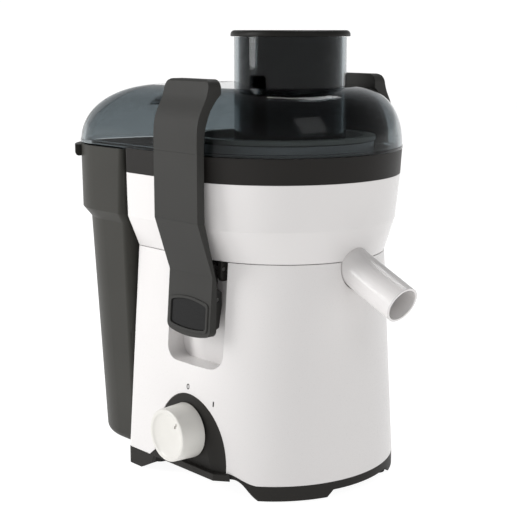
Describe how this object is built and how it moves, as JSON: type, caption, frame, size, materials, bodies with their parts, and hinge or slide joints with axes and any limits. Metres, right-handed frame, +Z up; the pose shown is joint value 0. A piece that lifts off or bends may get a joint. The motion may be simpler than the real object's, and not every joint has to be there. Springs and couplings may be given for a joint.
{
  "type": "centrifugal juicer",
  "caption": "Electric centrifugal juicer with a wide round feed chute, smoke lid, side pulp container, front spout and two draw latches.",
  "frame": {"origin": "centre of the footprint's bounding box, at the plane that the rubber feet stand on; the motor axis is upright through x = 17.84 mm, y = 3.85 mm", "axes": "+Z up, +X towards the spout, -Y towards the user's side with the dial"},
  "size_m": [0.3008, 0.2103, 0.3388],
  "materials": {
    "white_shell": "glossy moulded white ABS",
    "white_bowl": "glossy moulded white ABS",
    "dark_base": "satin dark grey",
    "dark_trim": "satin dark grey",
    "dark_collar": "satin dark grey",
    "dark_bin": "satin dark grey",
    "dark_latch": "satin dark grey, fine moulded grain",
    "dark_cap": "satin near black",
    "badge": "plain satin plate with no lettering",
    "link_plastic": "moulded dark plastic",
    "dial_white": "off-white, soft gloss",
    "smoke_clear": "smoke-grey clear polycarbonate",
    "smoke_pusher": "smoke-grey clear polycarbonate",
    "basket_plastic": "cream moulded plastic",
    "basket_steel": "fine perforated stainless steel",
    "coupling_plastic": "moulded nylon",
    "switch_black": "moulded",
    "foot_rubber": "matt",
    "inlet_rubber": "matt",
    "screw_steel": "zinc plated",
    "lamination": "stacked laminations",
    "bracket_metal": "die cast",
    "bearing_bronze": "sintered bronze",
    "brass": "stamped",
    "copper": "enamelled copper wire",
    "commutator_copper": "turned copper",
    "carbon": "pressed carbon"
  },
  "bodies": {
    "housing": {"base_plate": "dark_base", "rubber_feet": "foot_rubber", "base_screws": "screw_steel", "lower_housing": "white_shell", "front_recess": "white_shell", "back_recess": "white_shell", "motor_deck": "white_shell", "screw_bosses": "white_shell", "control_panel": "dark_trim", "rotary_switch": "switch_black", "cord_inlet": "inlet_rubber", "stator_core": "lamination", "field_coils": "copper", "upper_motor_bracket": "bracket_metal", "lower_motor_bracket": "bracket_metal", "upper_bearing": "bearing_bronze", "lower_bearing": "bearing_bronze", "motor_bolts": "screw_steel", "motor_spacers": "bracket_metal", "motor_mounts": "foot_rubber", "brush_holders": "brass", "carbon_brushes": "carbon", "shaft_seal": "inlet_rubber", "juice_bowl": "white_bowl", "juice_well": "white_bowl", "juice_spout": "white_bowl", "bowl_collar": "dark_collar", "lid": "smoke_clear", "feed_chute": "smoke_clear", "link_pins": "screw_steel", "link_brackets": "link_plastic", "safety_switch": "switch_black"},
    "rotor": {"motor_shaft": "screw_steel", "armature_core": "lamination", "armature_windings": "copper", "commutator": "commutator_copper", "cooling_fan": "switch_black", "drive_coupling": "coupling_plastic", "basket_base": "basket_plastic", "grater_disc": "basket_steel", "filter_mesh": "basket_steel", "basket_ring": "basket_plastic"},
    "dial": {"dial_knob": "dial_white", "dial_shaft": "screw_steel"},
    "pusher": {"food_pusher": "smoke_pusher", "pusher_cap": "dark_cap"},
    "container": {"pulp_container": "dark_bin"},
    "front_link": {"front_link": "link_plastic"},
    "front_latch": {"front_latch_lever": "dark_latch", "front_latch_shank": "dark_latch", "front_latch_hook": "dark_latch", "front_latch_pin": "screw_steel", "front_latch_badge": "badge"},
    "back_link": {"back_link": "link_plastic"},
    "back_latch": {"back_latch_lever": "dark_latch", "back_latch_shank": "dark_latch", "back_latch_hook": "dark_latch", "back_latch_pin": "screw_steel", "back_latch_badge": "badge"},
    "plunger": {"safety_plunger": "dial_white"}
  },
  "joints": [
    {"name": "rotor_spin", "type": "hinge", "parent": "housing", "child": "rotor", "pos_m": [0.01784, 0.00385, 0.1], "axis": [0, 0, 1], "continuous": true},
    {"name": "dial_turn", "type": "hinge", "parent": "housing", "child": "dial", "pos_m": [0.01334, -0.08535, 0.045], "axis": [0, 1, 0], "range_deg": [-45, 0]},
    {"name": "pusher_lift", "type": "slide", "parent": "housing", "child": "pusher", "axis": [0, 0, 1], "range_m": [0, 0.115]},
    {"name": "container_slide", "type": "slide", "parent": "housing", "child": "container", "axis": [-1, 0, 0], "range_m": [0, 0.11]},
    {"name": "front_link_hinge", "type": "hinge", "parent": "housing", "child": "front_link", "pos_m": [0.01784, -0.07165, 0.1695], "axis": [-1, 0, 0], "range_deg": [0, 60]},
    {"name": "front_latch_hinge", "type": "hinge", "parent": "front_link", "child": "front_latch", "pos_m": [0.01784, -0.07515, 0.147], "axis": [-1, 0, 0], "range_deg": [-120, 0]},
    {"name": "back_link_hinge", "type": "hinge", "parent": "housing", "child": "back_link", "pos_m": [0.01784, 0.07935, 0.1695], "axis": [1, 0, 0], "range_deg": [0, 60]},
    {"name": "back_latch_hinge", "type": "hinge", "parent": "back_link", "child": "back_latch", "pos_m": [0.01784, 0.08285, 0.147], "axis": [1, 0, 0], "range_deg": [-120, 0]},
    {"name": "plunger_slide", "type": "slide", "parent": "housing", "child": "plunger", "axis": [0, -1, 0], "range_m": [0, 0.0026]}
  ],
  "couplings": [
    {"joint": "front_latch_hinge", "follows": "front_link_hinge", "ratio": -2},
    {"joint": "back_latch_hinge", "follows": "back_link_hinge", "ratio": -2},
    {"joint": "plunger_slide", "follows": "front_link_hinge", "m_per_rad": 0.002387}
  ]
}
